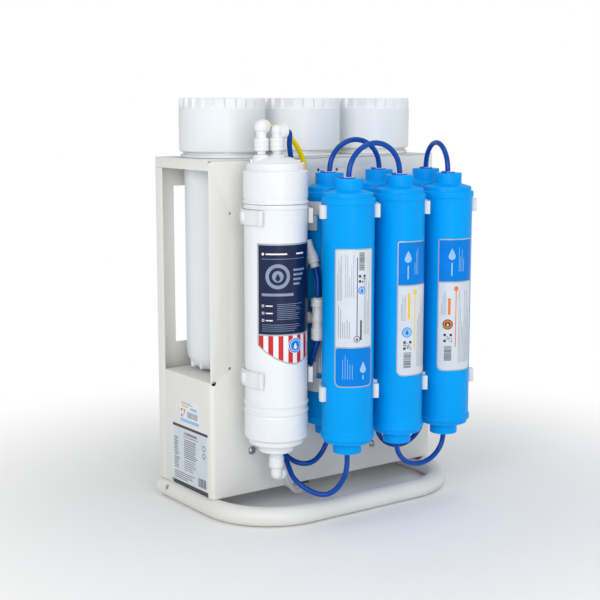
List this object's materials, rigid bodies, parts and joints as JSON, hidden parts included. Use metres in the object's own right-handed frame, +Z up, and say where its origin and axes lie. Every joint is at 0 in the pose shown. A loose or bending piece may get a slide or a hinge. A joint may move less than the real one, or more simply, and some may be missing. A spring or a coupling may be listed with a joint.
{
  "type": "reverse osmosis unit",
  "caption": "Under-sink reverse osmosis unit: sheet-steel frame on a tube base carrying screw-cap canisters, a membrane housing and clipped inline cartridges joined by push-fit tubing.",
  "frame": {"origin": "centre of the unit's footprint box, on the floor under the base tube", "axes": "+X to the right along the front panel, +Y from the front cartridges to the open back, +Z up"},
  "size_m": [0.358, 0.263, 0.506],
  "materials": {
    "frame_white": "satin powder coat",
    "pan_steel": "satin",
    "pump_black": "satin",
    "supply_black": "matte",
    "canister_white": "gloss",
    "cap_white": "satin",
    "seal_rubber": "matte",
    "cartridge_fibre": "matte",
    "housing_white": "gloss",
    "membrane_wrap": "matte",
    "filter_blue": "gloss",
    "clip_white": "satin",
    "fitting_white": "satin",
    "tube_blue": "gloss",
    "tube_yellow": "gloss",
    "tube_clear": "translucent"
  },
  "bodies": {
    "frame": {"base_ring": "frame_white", "front_panel": "frame_white", "top_plate": "frame_white", "rear_frame": "frame_white", "pump_cover": "frame_white", "floor_pan": "pan_steel", "booster_pump": "pump_black", "power_supply": "supply_black", "canister_body_1": "canister_white", "canister_cartridge_1": "cartridge_fibre", "canister_body_2": "canister_white", "canister_cartridge_2": "cartridge_fibre", "canister_body_3": "canister_white", "canister_cartridge_3": "cartridge_fibre", "canister_link_1": "canister_white", "canister_link_2": "canister_white", "membrane_housing": "housing_white", "membrane_cap": "housing_white", "membrane_element": "membrane_wrap", "elbow_permeate": "fitting_white", "elbow_waste": "fitting_white", "elbow_feed": "fitting_white", "membrane_clip_upper": "clip_white", "membrane_clip_lower": "clip_white", "filter_front_1": "filter_blue", "filter_back_1": "filter_blue", "double_clip_upper_1": "clip_white", "double_clip_lower_1": "clip_white", "filter_front_2": "filter_blue", "filter_back_2": "filter_blue", "double_clip_upper_2": "clip_white", "double_clip_lower_2": "clip_white", "filter_front_3": "filter_blue", "filter_back_3": "filter_blue", "double_clip_upper_3": "clip_white", "double_clip_lower_3": "clip_white", "rear_clip_rail_upper": "clip_white", "rear_clip_rail_lower": "clip_white", "check_valve": "fitting_white", "tee": "fitting_white", "port_block": "fitting_white", "tube_back_1_2": "tube_blue", "tube_back_1_out": "tube_blue", "tube_back_2_3": "tube_blue", "tube_feed": "tube_clear", "tube_front_1_2": "tube_blue", "tube_front_1_in": "tube_blue", "tube_front_2_3": "tube_blue", "tube_front_back_3": "tube_blue", "tube_permeate": "tube_blue", "tube_tank": "tube_blue", "tube_tee_down": "tube_blue", "tube_valve_tee": "tube_blue", "tube_waste": "tube_yellow"},
    "seal_1": {"canister_seal_1": "seal_rubber"},
    "cap_1": {"canister_cap_1": "cap_white"},
    "seal_2": {"canister_seal_2": "seal_rubber"},
    "cap_2": {"canister_cap_2": "cap_white"},
    "seal_3": {"canister_seal_3": "seal_rubber"},
    "cap_3": {"canister_cap_3": "cap_white"}
  },
  "joints": [
    {"name": "cap_1_rise", "type": "slide", "parent": "frame", "child": "seal_1", "axis": [0, 0, 1], "range_m": [0, 0.012]},
    {"name": "cap_1_turn", "type": "hinge", "parent": "seal_1", "child": "cap_1", "pos_m": [-0.111, 0.0733, 0.441], "axis": [0, 0, 1], "range_deg": [0, 1080]},
    {"name": "cap_2_rise", "type": "slide", "parent": "frame", "child": "seal_2", "axis": [0, 0, 1], "range_m": [0, 0.012]},
    {"name": "cap_2_turn", "type": "hinge", "parent": "seal_2", "child": "cap_2", "pos_m": [0.0042, 0.0733, 0.441], "axis": [0, 0, 1], "range_deg": [0, 1080]},
    {"name": "cap_3_rise", "type": "slide", "parent": "frame", "child": "seal_3", "axis": [0, 0, 1], "range_m": [0, 0.012]},
    {"name": "cap_3_turn", "type": "hinge", "parent": "seal_3", "child": "cap_3", "pos_m": [0.1194, 0.0733, 0.441], "axis": [0, 0, 1], "range_deg": [0, 1080]}
  ],
  "couplings": [
    {"joint": "cap_1_rise", "follows": "cap_1_turn", "m_per_rad": 0.00063662},
    {"joint": "cap_2_rise", "follows": "cap_2_turn", "m_per_rad": 0.00063662},
    {"joint": "cap_3_rise", "follows": "cap_3_turn", "m_per_rad": 0.00063662}
  ]
}
